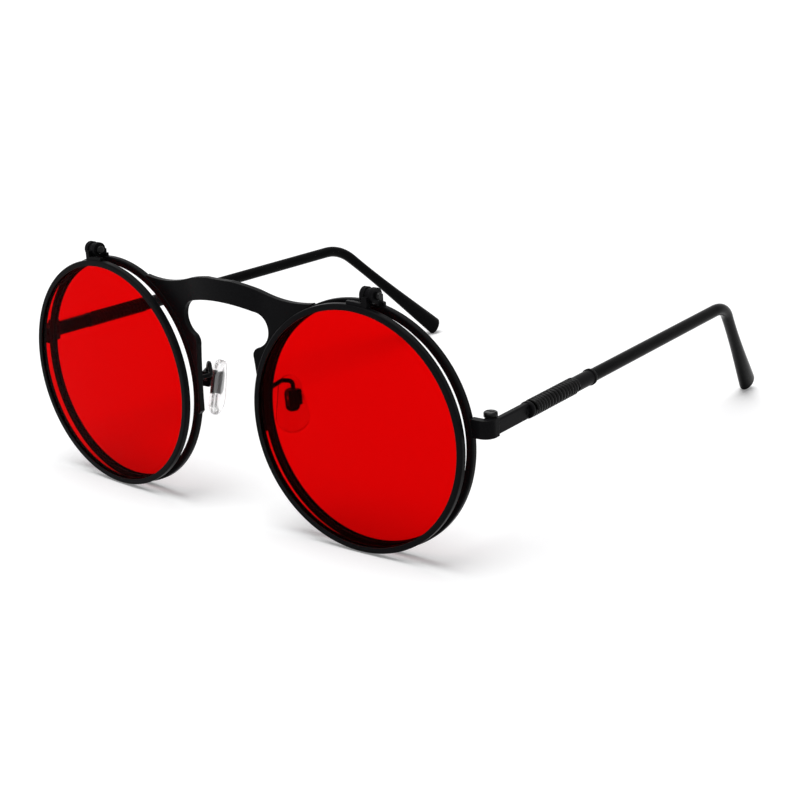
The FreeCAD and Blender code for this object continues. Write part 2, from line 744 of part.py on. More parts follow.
def sleeve():
    """The plastic sleeve: a straight run, the ear bend and a tip that widens to its round end."""
    at_bend = turned(hinge_frame(arm_line, bend_start, 0), ear_lean)
    straight = arm_rod("sleeve_straight", "Sizes.sleeve_radius", sleeve_start, "Sizes.sleeve_run")
    bend = doc.addObject("Part::Torus", "sleeve_bend")
    bind(bend, Radius1="Sizes.ear_bend_radius", Radius2="Sizes.sleeve_radius", Angle3="Sizes.ear_bend_angle")
    stand = Rotation(UP, BACK, OUT * -1, "XYZ")
    bend.Placement = at_bend.multiply(Placement(Vector(0, 0, -size("ear_bend_radius")), stand))
    turn = Rotation(tip_across, tip_way.cross(tip_across), tip_way, "XYZ")
    sections = []
    for share, tall_share, thick_share in TIP_SHARES:
        section = doc.addObject("Part::Ellipse", "tip_section")
        grown = "Sizes.sleeve_radius + (Sizes.%s / 2 - Sizes.sleeve_radius) * %s"
        bind(section, MajorRadius=grown % ("tip_height", tall_share),
             MinorRadius=grown % ("tip_thickness", thick_share))
        section.Placement = at_bend.multiply(Placement(bend_end + tip_way * (tip_length * share), turn))
        sections.append(section)
    tip = doc.addObject("Part::Loft", "sleeve_tip")
    tip.Sections = sections
    tip.Solid = True
    end = at_bend.multVec(bend_end + tip_way * tip_length)
    tip = rounded("sleeve_tip_round", tip, size("tip_round"), circles_near(end, size("sleeve_radius")))
    solid = fuse("sleeve_solid", straight, bend, tip)
    bore = arm_rod("sleeve_bore", "Sizes.core_radius", sleeve_start - size("overrun"),
                   "Sizes.core_grip + Sizes.overrun")
    return cut("temple_sleeve", solid, bore)


# Stations of the flip hinge: its axis height and half of its three knuckles
flip_level = base_outer + size("flip_hinge_rise")
flip_half = 1.5 * size("flip_knuckle_length") + size("flip_gap")
leaf_half = size("flip_knuckle_length") / 2


def flip_axis(along_axis=0):
    """A placement on the left flip hinge's axis, with its own Z along the axis, outwards."""
    place = lens_frame(size("flip_hinge_offset") + along_axis, -size("flip_hinge_setback"), flip_level)
    return turned(place, to_side)


def flip_bore(name):
    return cylinder(name, "Sizes.flip_pin_radius + Sizes.running_clearance",
                    "3 * Sizes.flip_knuckle_length + 2 * Sizes.flip_gap + 2 * Sizes.overrun",
                    flip_axis(-flip_half - size("overrun")))


def rim_shoe(name, kind, length, start, setback):
    """A thin foot that lies round the top of a rim, from a station on the flip hinge's axis."""
    outer, depth = worth(rim_radius(kind)), size(kind + "_rim_depth")
    corner = lens_frame(size("flip_hinge_offset") + start, size("rim_edge_round") - setback - depth / 2,
                        outer - size("base_rim_wall"))
    block = box(name + "_block", length, "Sizes.%s_rim_depth - 2 * Sizes.rim_edge_round" % kind,
                "Sizes.base_rim_wall + Sizes.flip_foot_thickness + Sizes.overrun", corner)
    shell = cylinder(name + "_shell", rim_radius(kind) + " + Sizes.flip_foot_thickness",
                     "2 * Sizes.%s_rim_depth" % kind, turned(lens_frame(0, -setback - depth, 0), to_back))
    return common(name, block, shell)


def flip_bracket():
    """The fixed half of a flip hinge: a foot on the base rim and two tall round ears."""
    foot_start = -size("bracket_foot_length") / 2
    members = [rim_shoe("bracket_foot", "base", "Sizes.bracket_foot_length", foot_start, 0)]
    for name, start in (("bracket_in", -flip_half), ("bracket_out", leaf_half + size("flip_gap"))):
        members.append(cylinder(name, "Sizes.flip_ear_radius", "Sizes.flip_knuckle_length",
                                flip_axis(start)))
        corner = lens_frame(size("flip_hinge_offset") + start, -size("flip_hinge_setback"),
                            base_outer - size("base_rim_wall"))
        depth = "Sizes.flip_hinge_setback + Sizes.base_rim_depth / 2 - Sizes.rim_edge_round"
        members.append(box(name + "_cheek", "Sizes.flip_knuckle_length", depth,
                           "Sizes.flip_hinge_rise + Sizes.base_rim_wall", corner))
    seated = cut("bracket_seated", fuse("bracket_solid", *members), rim_space("bracket_rim", "base", 0))
    clear = cylinder("bracket_clear", "Sizes.flip_knuckle_radius + Sizes.flip_sweep_gap",
                     "Sizes.flip_knuckle_length + 2 * Sizes.flip_gap",
                     flip_axis(-leaf_half - size("flip_gap")))
    return cut("flip_bracket", cut("bracket_open", seated, clear), flip_bore("bracket_bore"))


def flip_leaf():
    """The moving half of a flip hinge: a strip along the flip rim that turns up into the knuckle."""
    setback, foot_length = size("flip_setback"), size("leaf_foot_length")
    strip = rim_shoe("leaf_foot", "flip", "Sizes.leaf_foot_length", leaf_half - foot_length, setback)
    clear = cylinder("leaf_clear", "Sizes.flip_ear_radius + Sizes.flip_sweep_gap",
                     "Sizes.leaf_foot_length", flip_axis(-leaf_half - foot_length))
    strip = cut("leaf_foot_open", strip, clear)
    knuckle = cylinder("leaf_knuckle", "Sizes.flip_knuckle_radius", "Sizes.flip_knuckle_length",
                       flip_axis(-leaf_half))
    front = size("rim_edge_round") - setback - size("flip_rim_depth") / 2
    corner = lens_frame(size("flip_hinge_offset") - leaf_half, front, base_outer - size("flip_rim_wall"))
    front_edge = "Sizes.flip_setback + Sizes.flip_rim_depth / 2 - Sizes.rim_edge_round"
    web = box("leaf_web", "Sizes.flip_knuckle_length", front_edge + " - Sizes.flip_hinge_setback",
              "Sizes.flip_hinge_rise + Sizes.flip_rim_wall", corner)
    solid = fuse("leaf_solid", strip, knuckle, web)
    seated = cut("leaf_seated", solid, rim_space("leaf_rim", "flip", setback))
    return cut("flip_leaf", seated, flip_bore("leaf_bore"))


def flip_pin():
    """The flip hinge's screw, with its round head on the nose side."""
    length = "3 * Sizes.flip_knuckle_length + 2 * Sizes.flip_gap + Sizes.flip_nut_length"
    shank = cylinder("pin_shank", "Sizes.flip_pin_radius", length, flip_axis(-flip_half))
    head_start = -flip_half - size("flip_head_height")
    head = cylinder("pin_head", "Sizes.flip_head_radius", "Sizes.flip_head_height", flip_axis(head_start))
    head = rounded("pin_head_round", head, size("rim_edge_round"),
                   circles_near(flip_axis(head_start).Base, size("rim_edge_round")))
    return fuse("flip_pin", shank, head)


def flip_nut():
    """The round nut on the outer end of the flip hinge's screw."""
    whole = ball("nut_ball", "Sizes.flip_nut_radius", flip_axis(flip_half + size("flip_nut_length") / 2))
    span = cylinder("nut_span", "2 * Sizes.flip_nut_radius", "Sizes.flip_nut_length", flip_axis(flip_half))
    bore = cylinder("nut_bore", "Sizes.flip_pin_radius", "Sizes.flip_nut_length + 2 * Sizes.overrun",
                    flip_axis(flip_half - size("overrun")))
    return cut("flip_nut", common("nut_blank", whole, span), bore)


# The nose pad's frame: outwards from the pad, backwards along it and up
pad_turn = Rotation(UP, -size("pad_splay_angle")).multiply(Rotation(BACK, -size("pad_tilt_angle")))
pad_origin = Vector(size("pad_box_offset"), front_line + size("pad_box_setback"),
                    base_outer + size("pad_box_height"))
pad_face = size("pad_box_depth") / 2 + size("pad_gap")
eye_width = "Sizes.pad_box_width - 2 * (Sizes.pad_box_cheek + Sizes.pad_side_gap)"


def pad_frame(out=0, back=0, up=0):
    return Placement(pad_origin + pad_turn.multVec(Vector(out, back, up)), pad_turn)


def pad_rod(name, radius, start, length):
    """A round piece on the pad screw's axis."""
    return cylinder(name, radius, length, turned(pad_frame(0, start, 0), to_back))


def pad_bore(name):
    return pad_rod(name, "Sizes.pad_screw_radius + Sizes.running_clearance", -size("pad_box_width"),
                   "2 * Sizes.pad_box_width")


def pad_box():
    """The small open box on the pad wire that holds the pad's stem between its cheeks."""
    width, tall, depth = size("pad_box_width"), size("pad_box_tall"), size("pad_box_depth")
    cheek, slot_round = size("pad_box_cheek"), size("pad_box_slot_round")
    block = box("pad_box_block", "Sizes.pad_box_depth", "Sizes.pad_box_width", "Sizes.pad_box_tall",
                pad_frame(-depth / 2, -width / 2, -tall / 2))
    block = rounded("pad_box_round", block, size("pad_box_round"),
                    runs_along(pad_turn.multVec(BACK), width))
    slot = box("pad_box_slot", "Sizes.pad_box_depth - Sizes.pad_box_wall + Sizes.overrun",
               "Sizes.pad_box_width - 2 * Sizes.pad_box_cheek",
               "Sizes.pad_box_tall - Sizes.pad_box_slot_round",
               pad_frame(-depth / 2 - size("overrun"), cheek - width / 2, (slot_round - tall) / 2))
    return cut("pad_box", cut("pad_box_open", block, slot), pad_bore("pad_box_bore"))


def pad_screw():
    """The bright screw through the pad box, with its slotted head to the rear."""
    half = size("pad_box_width") / 2
    shank = pad_rod("pad_screw_shank", "Sizes.pad_screw_radius", -half,
                    "Sizes.pad_box_width + Sizes.pad_head_height / 2")
    head = pad_rod("pad_screw_head", "Sizes.pad_head_radius", half, "Sizes.pad_head_height")
    top = turned(pad_frame(0, half + size("pad_head_height"), 0), to_back)
    slot = screw_slot("pad_screw_slot", "pad_head_radius", top)
    return cut("pad_screw", fuse("pad_screw_solid", shank, head), slot)


def core_plate(name):
    """The core's plate, with round corners, flush with the pad's outer face."""
    inner = -pad_face - size("core_plate_thickness")
    low = -size("core_plate_drop") - size("core_plate_tall") / 2
    plate = box(name + "_block", "Sizes.core_plate_thickness", "Sizes.core_plate_wide",
                "Sizes.core_plate_tall", pad_frame(inner, -size("core_plate_wide") / 2, low))
    return rounded(name, plate, size("core_plate_round"),
                   runs_along(pad_turn.multVec(OUT), size("core_plate_thickness")))


def pad_core():
    """The pad's hard core: a plate inside the pad and a stem with an eye for the screw."""
    eye_half = size("pad_box_width") / 2 - size("pad_box_cheek") - size("pad_side_gap")
    eye = pad_rod("core_eye", "Sizes.pad_stem_radius", -eye_half, eye_width)
    inner = -pad_face - size("core_plate_thickness") / 2
    stem = box("core_stem", "Sizes.pad_box_depth / 2 + Sizes.pad_gap + Sizes.core_plate_thickness / 2",
               eye_width, "Sizes.pad_stem_thickness",
               pad_frame(inner, -eye_half, -size("pad_stem_thickness") / 2))
    return cut("pad_core", fuse("core_solid", eye, stem, core_plate("core_plate")), pad_bore("core_bore"))


def pad_outline():
    """The pad seen from the nose: a broad round foot and a narrower round top."""
    low, high = size("pad_width") / 2, size("pad_top_width") / 2
    half = size("pad_length") / 2
    low_centre = Vector(0, low - half - size("pad_drop"), 0)
    high_centre = Vector(0, half - high - size("pad_drop"), 0)
    lean = math.degrees(math.asin((low - high) / (high_centre.y - low_centre.y)))
    side = Vector(cosine(lean), sine(lean), 0)
    low_right, high_right = low_centre + side * low, high_centre + side * high
    low_left = Vector(-low_right.x, low_right.y, 0)
    high_left = Vector(-high_right.x, high_right.y, 0)
    return [
        Part.Arc(low_left, low_centre - Vector(0, low, 0), low_right),
        Part.LineSegment(low_right, high_right),
        Part.Arc(high_right, high_centre + Vector(0, high, 0), high_left),
        Part.LineSegment(high_left, low_left),
    ]


def nose_pad():
    """The soft clear pad, crowned all round, with a pocket for the core's plate."""
    block = padded("pad_block", "YZ_Plane", pad_outline(), "Sizes.pad_thickness", False,
                   pad_frame(-pad_face - size("pad_thickness"), 0, 0))
    shortest = size("pad_thickness") * 3 / 2
    soft = rounded("pad_soft", block, size("pad_edge_round"), lambda edge: edge.Length > shortest)
    return cut("nose_pad", soft, core_plate("pad_pocket"))


def pad_arm():
    """The bent wire from the bridge plate's rear face over to the top of the pad box."""
    half = size("plate_thickness") / 2
    across = size("rim_spacing") / 2 - size("pad_wire_inset")
    turn = math.degrees(math.asin((bow_edge_centre.x - across) / (bow_edge + half)))
    root, way = on_bow_edge(turn, half), Vector(-sine(turn), cosine(turn), 0)
    root.z = base_outer + size("pad_wire_root")
    top = pad_frame(0, 0, size("pad_box_tall") / 2).Base
    above = pad_frame(0, 0, size("pad_box_tall") / 2 + size("pad_wire_over")).Base
    behind = root + way * size("pad_wire_back")
    over = behind + (above - behind) * WIRE_RISE_SHARE + UP * size("pad_wire_rise")
    bend = size("pad_wire_bend")
    path = bent_path([root, behind, over, above, top], [bend] * 3)
    ring = Part.Wire(Part.Circle(root, way, size("pad_wire_radius")).toShape())
    wire = doc.addObject("Part::Feature", "pad_arm")
    wire.Shape = Part.Wire([curve.toShape() for curve in path]).makePipeShell([ring], True, False)
    return wire


def flip_frame():
    return lens_frame(0, -size("flip_setback"), 0)


# Each left piece and its mirror on the right, and the bridge plate between them
pieces = {"bridge_plate": finish(bridge_plate(), "bridge_plate")}
left_pieces = {
    "base_rim": rim("base_rim", "base", lens_frame()),
    "base_lens": lens("base_lens", lens_frame()),
    "end_piece": end_piece(),
    "temple_screw": temple_screw(),
    "flip_bracket": flip_bracket(),
    "flip_pin": flip_pin(),
    "flip_nut": flip_nut(),
    "pad_arm": pad_arm(),
    "pad_box": pad_box(),
    "pad_screw": pad_screw(),
    "flip_rim": rim("flip_rim", "flip", flip_frame()),
    "flip_lens": lens("flip_lens", flip_frame()),
    "flip_leaf": flip_leaf(),
    "temple_arm": temple_arm(),
    "spring_seat": spring_seat(),
    "temple_spring": temple_spring(),
    "temple_ferrule": ferrule(),
    "temple_sleeve": sleeve(),
    "pad_core": pad_core(),
    "nose_pad": nose_pad(),
}
for name, piece in left_pieces.items():
    pieces[name + "_left"] = finish(piece, name + "_left")
    pieces[name + "_right"] = finish(mirror(name + "_mirror", piece), name + "_right")

doc.recompute()
for obj in doc.Objects:
    if "Invalid" in obj.State or "Error" in obj.State:
        raise RuntimeError("%s failed: %s" % (obj.Name, obj.State))
for label, obj in pieces.items():
    if obj.Shape.isNull() or not obj.Shape.isValid():
        raise RuntimeError("%s has no valid shape" % label)

os.makedirs("parts", exist_ok=True)
for label, obj in pieces.items():
    print("%-22s %d solid, %.2f mm3" % (label, len(obj.Shape.Solids), obj.Shape.Volume))
    obj.Shape.exportStep(os.path.join("parts", label + ".step"))

# The left side's joint axes, for the record
for joint, place, way in (
        ("temple", hinge_axis, UP),
        ("flip", flip_axis().Base, wrap_turn.multVec(OUT)),
        ("pad", pad_origin, pad_turn.multVec(BACK))):
    print("%s joint at %.4f, %.4f, %.4f along %.5f, %.5f, %.5f" % ((joint,) + tuple(place) + tuple(way)))
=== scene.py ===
"""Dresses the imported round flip-up glasses and sets up their studio.

The metal gets a satin black paint, the flip lenses their red and the nose pads a clear silicone,
and the temple coils are wound closer than the solids can keep them.
"""

import json
import math

import bmesh
import bpy
from bpy.props import FloatProperty, FloatVectorProperty, IntProperty, PointerProperty
from mathutils import Matrix, Vector
from mathutils.bvhtree import BVHTree


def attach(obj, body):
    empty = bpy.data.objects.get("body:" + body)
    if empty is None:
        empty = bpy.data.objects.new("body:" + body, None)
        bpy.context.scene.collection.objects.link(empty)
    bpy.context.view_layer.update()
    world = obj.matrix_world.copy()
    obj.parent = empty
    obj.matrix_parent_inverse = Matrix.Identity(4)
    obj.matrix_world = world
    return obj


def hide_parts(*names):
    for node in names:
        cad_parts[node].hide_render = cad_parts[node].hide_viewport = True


bl_info = {
    "name": "Flip-up Glasses",
    "version": (1, 0, 0),
    "blender": (4, 5, 0),
    "location": "3D View > Sidebar > Glasses",
    "description": "Finishes the round flip-up glasses and sets up their studio",
    "category": "Object",
}

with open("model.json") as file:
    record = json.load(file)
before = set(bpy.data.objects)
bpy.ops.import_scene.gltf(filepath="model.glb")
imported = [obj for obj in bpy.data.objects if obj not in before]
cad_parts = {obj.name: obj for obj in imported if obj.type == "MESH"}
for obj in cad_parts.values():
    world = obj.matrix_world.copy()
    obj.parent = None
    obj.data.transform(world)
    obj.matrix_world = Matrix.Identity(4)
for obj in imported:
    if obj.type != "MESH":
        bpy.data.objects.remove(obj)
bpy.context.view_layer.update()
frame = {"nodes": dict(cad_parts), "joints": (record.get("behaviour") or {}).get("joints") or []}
nodes = frame["nodes"]
joints = {joint["name"]: joint for joint in frame["joints"]}

SIDES = ("left", "right")
MM = 0.001
WELD = 0.001 * MM  # points of a mesh nearer than this are merged
TOUCH = 0.05 * MM  # a face nearer than this to a core lies on it
LEVEL = 0.99  # a face whose normal's Z is this or more is flat
TURN_POINTS = 28  # points of the wire's middle line in one turn
RING_SIDES = 56
EDGE_SAMPLES = 6  # rays that soften an edge
SENSOR_MM = 36.0
NEAREST_SEEN = 10 * MM


# Node graphs, written as expressions

class Wire:
    """One output socket, on which Python's operators add Math nodes."""

    def __init__(self, graph, socket):
        self.graph = graph
        self.socket = socket

    def math(self, operation, *values):
        return self.graph.add("ShaderNodeMath", {"operation": operation}, dict(enumerate(values)))

    def __add__(self, other):
        return self.math("ADD", self, other)

    def __radd__(self, other):
        return self.math("ADD", other, self)

    def __sub__(self, other):
        return self.math("SUBTRACT", self, other)

    def __rsub__(self, other):
        return self.math("SUBTRACT", other, self)

    def __mul__(self, other):
        return self.math("MULTIPLY", self, other)

    def __rmul__(self, other):
        return self.math("MULTIPLY", other, self)

    def __truediv__(self, other):
        return self.math("DIVIDE", self, other)

    def __rtruediv__(self, other):
        return self.math("DIVIDE", other, self)

    def __pow__(self, other):
        return self.math("POWER", self, other)

    def __rpow__(self, other):
        return self.math("POWER", other, self)

    def sin(self):
        return self.math("SINE", self)

    def cos(self):
        return self.math("COSINE", self)

    def clipped(self):
        """The value kept between 0 and 1."""
        return self.graph.add("ShaderNodeClamp", {}, {"Value": self})

    def swing(self, width):
        """A value of 0 to 1 spread over a width about zero."""
        return (self - 0.5) * width


class Graph:
    """A shader or geometry tree, to which one method adds every node."""

    def __init__(self, tree):
        self.tree = tree

    def add(self, kind, settings=None, inputs=None, output=0):
        """Adds a node, sets it up and fills its sockets with values or wires.

        It returns one of the node's outputs, or the node itself where it has none.
        """
        node = self.tree.nodes.new(kind)
        for name, value in (settings or {}).items():
            setattr(node, name, value)
        for name, value in (inputs or {}).items():
            if isinstance(value, Wire):
                self.tree.links.new(value.socket, node.inputs[name])
            else:
                node.inputs[name].default_value = value
        return Wire(self, node.outputs[output]) if len(node.outputs) else node

    def mix(self, factor, first, second):
        """Blends two colours."""
        return self.add("ShaderNodeMix", {"data_type": "RGBA"}, {0: factor, 6: first, 7: second}, 2)

    def rays(self, *kinds):
        """1 for the kinds of ray that are named and 0 for any other."""
        path = self.add("ShaderNodeLightPath").socket.node
        first, *others = [Wire(self, path.outputs["Is " + kind + " Ray"]) for kind in kinds]
        return sum(others, first).clipped()


class Finish(Graph):
    """A material on object coordinates."""

    def __init__(self, name):
        self.material = bpy.data.materials.new(name)
        self.material.use_nodes = True
        super().__init__(self.material.node_tree)
        self.tree.nodes.clear()
        self.place = self.add("ShaderNodeTexCoord", {}, {}, "Object")

    def stretched(self, scale):
        """The object coordinates, stretched by a scale for each axis."""
        return self.add("ShaderNodeMapping", {}, {"Vector": self.place, "Scale": scale})

    def noise(self, grain, detail, place=None):
        """A cloudy value whose blotches are about one grain across, in metres."""
        inputs = {"Vector": place or self.place, "Scale": 1 / grain, "Detail": detail}
        return self.add("ShaderNodeTexNoise", {}, inputs)

    def soft_edges(self, radius):
        """A normal that turns smoothly over the sharp edges."""
        return self.add("ShaderNodeBevel", {"samples": EDGE_SAMPLES}, {"Radius": radius})

    def turned(self, normal):
        """How far a normal has turned from the face's own: 0 on a flat place."""
        settings = {"operation": "DOT_PRODUCT"}
        flat = self.add("ShaderNodeNewGeometry", {}, {}, "Normal")
        return 1 - self.add("ShaderNodeVectorMath", settings, {0: normal, 1: flat}, "Value")

    def bump(self, height, depth, strength, over=None):
        inputs = {"Strength": strength, "Distance": depth, "Height": height}
        if over:
            inputs["Normal"] = over
        return self.add("ShaderNodeBump", {}, inputs)

    def shade(self, **sockets):
        """The surface's own shader; a socket is named by its words joined with underscores."""
        inputs = {words.replace("_", " "): value for words, value in sockets.items()}
        return self.add("ShaderNodeBsdfPrincipled", {}, inputs)

    def let_lamps_through(self, shader, tint):
        """Lets the rays that light the floor pass with a tint, so that the shadow stays light."""
        film = self.add("ShaderNodeBsdfTransparent", {}, {"Color": tint})
        passing = self.rays("Shadow", "Diffuse")
        return self.add("ShaderNodeMixShader", {}, {0: passing, 1: shader, 2: film})

    def close(self, shader):
        self.add("ShaderNodeOutputMaterial", {}, {"Surface": shader})
        return self.material


def grey(level):
    return (level, level, level, 1)


# The sizes and colours that a user would change

class PaintSettings(bpy.types.PropertyGroup):
    """Colours and gloss of the opaque parts."""

    frame: FloatVectorProperty(
        name="Frame Paint", description="Colour of the painted metal",
        subtype="COLOR", size=4, min=0, max=1, default=(0.0026, 0.0025, 0.0029, 1))
    frame_light: FloatVectorProperty(
        name="Frame Paint Light", description="Colour of the paint's lighter grains",
        subtype="COLOR", size=4, min=0, max=1, default=(0.0055, 0.0054, 0.0062, 1))
    # Painted highlight: the lighter colour laid along the frame's sharp edges, standing in for
    # their reflections
    edge_highlight_colour: FloatVectorProperty(
        name="Worn Paint", description="Colour of the paint where edges are rubbed",
        subtype="COLOR", size=4, min=0, max=1, default=(0.03, 0.029, 0.028, 1))
    frame_gloss: FloatProperty(
        name="Frame Roughness", description="How far the paint blurs a reflection",
        subtype="FACTOR", min=0, max=1, default=0.34)
    sleeve: FloatVectorProperty(
        name="Sleeve Plastic", description="Colour of the temple sleeves",
        subtype="COLOR", size=4, min=0, max=1, default=(0.0018, 0.0018, 0.0021, 1))
    sleeve_gloss: FloatProperty(
        name="Sleeve Roughness", description="How far the sleeve blurs a reflection",
        subtype="FACTOR", min=0, max=1, default=0.2)
    steel: FloatVectorProperty(
        name="Bright Steel", description="Colour of the nose pads' screws",
        subtype="COLOR", size=4, min=0, max=1, default=(0.72, 0.71, 0.69, 1))
    spring: FloatVectorProperty(
        name="Coil Steel", description="Colour of the blackened coil wire",
        subtype="COLOR", size=4, min=0, max=1, default=(0.0025, 0.0024, 0.0024, 1))


class ClearSettings(bpy.types.PropertyGroup):
    """Colours of the lenses and the nose pads."""

    red: FloatVectorProperty(
        name="Flip Lens", description="Tint of the flip lenses",
        subtype="COLOR", size=4, min=0, max=1, default=(0.64, 0.0002, 0.0004, 1))
    # Painted shade: the darker red that the flip lenses take towards their foot
    red_foot_shade: FloatVectorProperty(
        name="Flip Lens Edge", description="Tint of the flip lenses near their lower edge",
        subtype="COLOR", size=4, min=0, max=1, default=(0.59, 0.0002, 0.0004, 1))
    clear: FloatVectorProperty(
        name="Base Lens", description="Tint of the clear base lenses",
        subtype="COLOR", size=4, min=0, max=1, default=(0.985, 0.99, 0.99, 1))
    pad: FloatVectorProperty(
        name="Nose Pad", description="Tint of the soft clear pads",
        subtype="COLOR", size=4, min=0, max=1, default=(0.95, 0.935, 0.94, 1))


class CoilSettings(bpy.types.PropertyGroup):
    """Sizes of the temples' coil springs."""

    turns: FloatProperty(
        name="Turns", description="Turns of one coil", min=2, max=40, default=16)
    radius: FloatProperty(
        name="Coil Radius", description="Radius of the wire's middle line",
        subtype="DISTANCE", unit="LENGTH", min=0.2 * MM, max=10 * MM, default=1.45 * MM)
    wire: FloatProperty(
        name="Wire Radius", description="Radius of the wound wire",
        subtype="DISTANCE", unit="LENGTH", min=0.05 * MM, max=2 * MM, default=0.42 * MM)
    start: FloatProperty(
        name="Start", description="Distance from the temple's hinge to the coil",
        subtype="DISTANCE", unit="LENGTH", min=0, max=100 * MM, default=12.1 * MM)
    length: FloatProperty(
        name="Length", description="Length of the coil between its collar and its ferrule",
        subtype="DISTANCE", unit="LENGTH", min=1 * MM, max=100 * MM, default=17.9 * MM)
    closing: FloatProperty(
        name="Closing", description="How far the end turns close up against their seats",
        subtype="FACTOR", min=0, max=1, default=0.35)
    sides: IntProperty(
        name="Wire Sides", description="Sides of the wire's round section",
        min=6, max=32, default=14)
    collar: FloatProperty(
        name="Collar", description="Length of the collar in front of the coil",
        subtype="DISTANCE", unit="LENGTH", min=0.3 * MM, max=10 * MM, default=1.1 * MM)
    collar_radius: FloatProperty(
        name="Collar Radius", description="Radius of the collar",
        subtype="DISTANCE", unit="LENGTH", min=0.2 * MM, max=10 * MM, default=1.82 * MM)
    collar_edge: FloatProperty(
        name="Collar Edge", description="Radius of the collar's rounded edges",
        subtype="DISTANCE", unit="LENGTH", min=0.01 * MM, max=1 * MM, default=0.3 * MM)
    outset: FloatProperty(
        name="Outset", description="Distance of the coil's axis outside the hinge's axis",
        subtype="DISTANCE", unit="LENGTH", min=-10 * MM, max=10 * MM, default=1.3 * MM)
    toe_in: FloatProperty(
        name="Toe-in", description="How far an open temple leans to the middle",
        subtype="ANGLE", unit="ROTATION", min=0, max=0.3, default=math.radians(3.0))


class StudioSettings(bpy.types.PropertyGroup):
    """The floor, the lamp and the camera."""

    floor: FloatVectorProperty(
        name="Floor", description="Colour of the floor",
        subtype="COLOR", size=4, min=0, max=1, default=(0.93, 0.93, 0.935, 1))
    floor_reach: FloatProperty(
        name="Floor Reach", description="Distance from the glasses to the floor's sides",
        subtype="DISTANCE", unit="LENGTH", min=1, max=20, default=6.0)
    glow: FloatProperty(
        name="Backdrop Glow", description="White added to the floor as the camera sees it",
        min=0, max=1, default=0.17)
    sky: FloatProperty(
        name="Surround", description="Strength of the even light all round",
        min=0, max=2, default=0.3)
    key: FloatProperty(
        name="Key", description="Strength of the broad lamp overhead",
        min=0, max=10, default=2.4)
    spread: FloatProperty(
        name="Key Spread", description="How wide the lamp overhead is seen from the floor",
        subtype="ANGLE", unit="ROTATION", min=0, max=math.pi, default=math.radians(46))
    key_turn: FloatVectorProperty(
        name="Key Turn", description="How the lamp overhead leans",
        subtype="EULER", unit="ROTATION", size=3, default=(math.radians(7), math.radians(-2), 0))
    lens: FloatProperty(
        name="Lens", description="Focal length of the camera in millimetres",
        min=20, max=300, default=76.0)
    place: FloatVectorProperty(
        name="Camera Place", description="Where the camera stands",
        subtype="TRANSLATION", unit="LENGTH", size=3, default=(0.2542, -0.31554, 0.14091))
    azimuth: FloatProperty(
        name="Azimuth", description="Angle of the view round the glasses",
        subtype="ANGLE", unit="ROTATION", default=math.radians(39.815))
    elevation: FloatProperty(
        name="Elevation", description="Angle of the view above the floor",
        subtype="ANGLE", unit="ROTATION", default=math.radians(18.207))
    roll: FloatProperty(
        name="Roll", description="Turn of the camera about its own line of sight",
        subtype="ANGLE", unit="ROTATION", default=math.radians(-2.515))


class GlassesSettings(bpy.types.PropertyGroup):
    """All settings of the glasses."""

    paint: PointerProperty(type=PaintSettings)
    clear: PointerProperty(type=ClearSettings)
    coil: PointerProperty(type=CoilSettings)
    studio: PointerProperty(type=StudioSettings)


# Materials

def frame_paint(paint):
    """Satin black paint with a fine orange peel, slightly lighter grains and a painted highlight
    along the edges.
    """
    grain, cloud, highlight_patch, peel, edge = 0.35 * MM, 9 * MM, 1.8 * MM, 0.6 * MM, 0.22 * MM
    relief, gloss = 0.012 * MM, 0.03
    m = Finish("frame_paint")
    grains = m.noise(grain, 4)
    soft = m.soft_edges(edge)
    # Painted highlight: a mask on the sharp edges, broken up by noise, that lightens the colour and
    # lowers the roughness there
    highlit = (m.turned(soft) * 5 * (m.noise(highlight_patch, 4) * 2 - 0.5)).clipped()
    dark = m.mix((grains * 1.8 - 0.4).clipped(), tuple(paint.frame), tuple(paint.frame_light))
    colour = m.mix(highlit * 0.6, dark, tuple(paint.edge_highlight_colour))
    blur = paint.frame_gloss + m.noise(cloud, 2).swing(0.12) + grains.swing(0.1) - highlit * 0.08
    skin = m.bump(m.noise(peel, 2), relief, 0.55, soft)
    return m.close(m.shade(
        Base_Color=colour, Roughness=blur, Normal=skin, Specular_IOR_Level=gloss))


def coil_steel(paint):
    """Blackened spring wire, drawn along its length, with random lighter patches of painted sheen.
    """
    draw_mark, sheen_patch, relief = 0.12 * MM, 2.2 * MM, 0.006 * MM
    painted_sheen, roughness, gloss = grey(0.008), 0.22, 0.1
    m = Finish("coil_steel")
    drawn = m.noise(draw_mark, 3, m.stretched((1, 0.25, 1)))
    # Painted sheen: a lighter grey in random patches, standing in for the highlights on the coil's
    # turns
    colour = m.mix((m.noise(sheen_patch, 2) * 1.6 - 0.3).clipped(), tuple(paint.spring), painted_sheen)
    return m.close(m.shade(
        Base_Color=colour, Roughness=roughness + drawn.swing(0.16),
        Normal=m.bump(drawn, relief, 0.5), Specular_IOR_Level=gloss))


def sleeve_plastic(paint):
    """Glossy black plastic with faint flow waves and hairline scuffs along the temple."""
    wave, scuff, relief = 6 * MM, 0.25 * MM, 0.03 * MM
    scuffed, gloss = grey(0.006), 0.02
    m = Finish("sleeve_plastic")
    flow = m.noise(wave, 2, m.stretched((1, 0.2, 1)))
    scuffs = m.noise(scuff, 4, m.stretched((1, 0.06, 1)))
    colour = m.mix((scuffs * 2.2 - 0.9).clipped(), tuple(paint.sleeve), scuffed)
    return m.close(m.shade(
        Base_Color=colour, Roughness=paint.sleeve_gloss + flow.swing(0.1) + scuffs.swing(0.12),
        Normal=m.bump(flow, relief, 0.4), Specular_IOR_Level=gloss))


